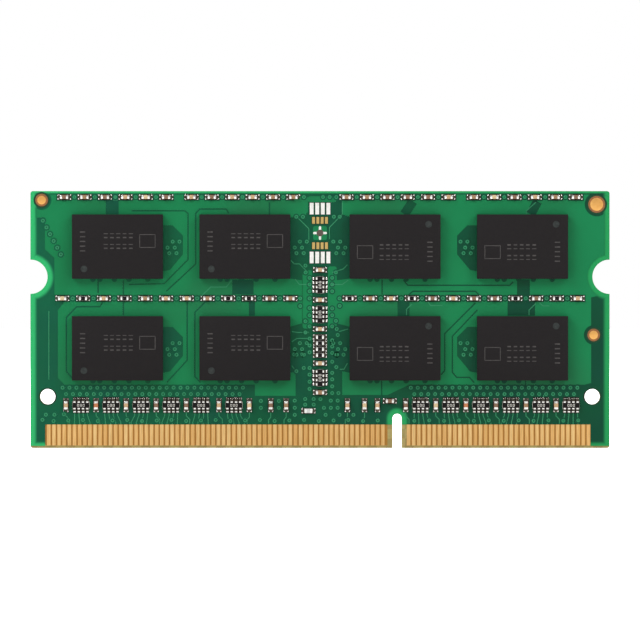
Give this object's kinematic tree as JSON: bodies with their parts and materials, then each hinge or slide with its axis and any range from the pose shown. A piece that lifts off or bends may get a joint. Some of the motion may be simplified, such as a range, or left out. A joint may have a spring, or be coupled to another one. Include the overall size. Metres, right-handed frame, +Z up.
{
  "type": "ram module",
  "caption": "Small-outline memory module: a notched green circuit board with gold edge contacts, black memory chips in two rows on each face and rows of small ceramic parts.",
  "frame": {"origin": "middle of the contact edge, half way through the board's thickness", "axes": "the module stands on its contact edge: +Z up the board, +X along it so that the key slot is on the +X side, the front face looks along -Y"},
  "size_m": [0.0676, 0.0032, 0.03],
  "materials": {
    "laminate": "woven glass and epoxy, cut edge",
    "copper": "thin rolled copper",
    "solder_mask": "semi-gloss green film",
    "contact_gold": "hard gold plating over nickel",
    "target_gold": "flash gold",
    "tinned_pads": "matt tin",
    "mould": "fine matt moulding compound",
    "substrate": "resin laminate edge",
    "silicon": "ground silicon",
    "die_film": "adhesive film",
    "bond_gold": "drawn gold wire",
    "resin": "glossy black resin",
    "solder": "tin and silver solder, reflowed",
    "ceramic_tan": "fired dielectric ceramic",
    "ceramic_white": "alumina",
    "film_black": "overglaze",
    "ferrite": "pale fired ferrite",
    "lead_tin": "matt tin over copper alloy"
  },
  "bodies": {
    "root": {"core_sheet": "laminate", "front_prepreg": "laminate", "back_prepreg": "laminate", "ground_plane": "copper", "power_plane": "copper", "front_copper": "copper", "back_copper": "copper", "front_solder_mask": "solder_mask", "back_solder_mask": "solder_mask", "front_contacts_long": "contact_gold", "front_contacts_short": "contact_gold", "back_contacts_long": "contact_gold", "back_contacts_short": "contact_gold", "via_barrels": "copper", "gold_targets": "target_gold", "spare_sensor_pads": "tinned_pads", "spd_body": "mould", "spd_leads": "lead_tin", "spd_die": "silicon", "ferrite_bead": "ferrite", "front_chip_substrates": "substrate", "front_memory_dies": "silicon", "front_die_attach": "die_film", "front_bond_wires": "bond_gold", "front_slot_resin": "resin", "front_solder_balls": "solder", "front_capacitor_bodies": "ceramic_tan", "front_capacitor_ends": "solder", "front_resistor_bodies": "ceramic_white", "front_resistor_films": "film_black", "front_resistor_ends": "solder", "front_solder_joints": "solder", "front_memory_chip_1": "mould", "front_memory_chip_2": "mould", "front_memory_chip_3": "mould", "front_memory_chip_4": "mould", "front_memory_chip_5": "mould", "front_memory_chip_6": "mould", "front_memory_chip_7": "mould", "front_memory_chip_8": "mould", "back_chip_substrates": "substrate", "back_memory_dies": "silicon", "back_die_attach": "die_film", "back_bond_wires": "bond_gold", "back_slot_resin": "resin", "back_solder_balls": "solder", "back_capacitor_bodies": "ceramic_tan", "back_capacitor_ends": "solder", "back_resistor_bodies": "ceramic_white", "back_resistor_films": "film_black", "back_resistor_ends": "solder", "back_solder_joints": "solder", "back_memory_chip_1": "mould", "back_memory_chip_2": "mould", "back_memory_chip_3": "mould", "back_memory_chip_4": "mould", "back_memory_chip_5": "mould", "back_memory_chip_6": "mould", "back_memory_chip_7": "mould", "back_memory_chip_8": "mould"}
  },
  "joints": []
}
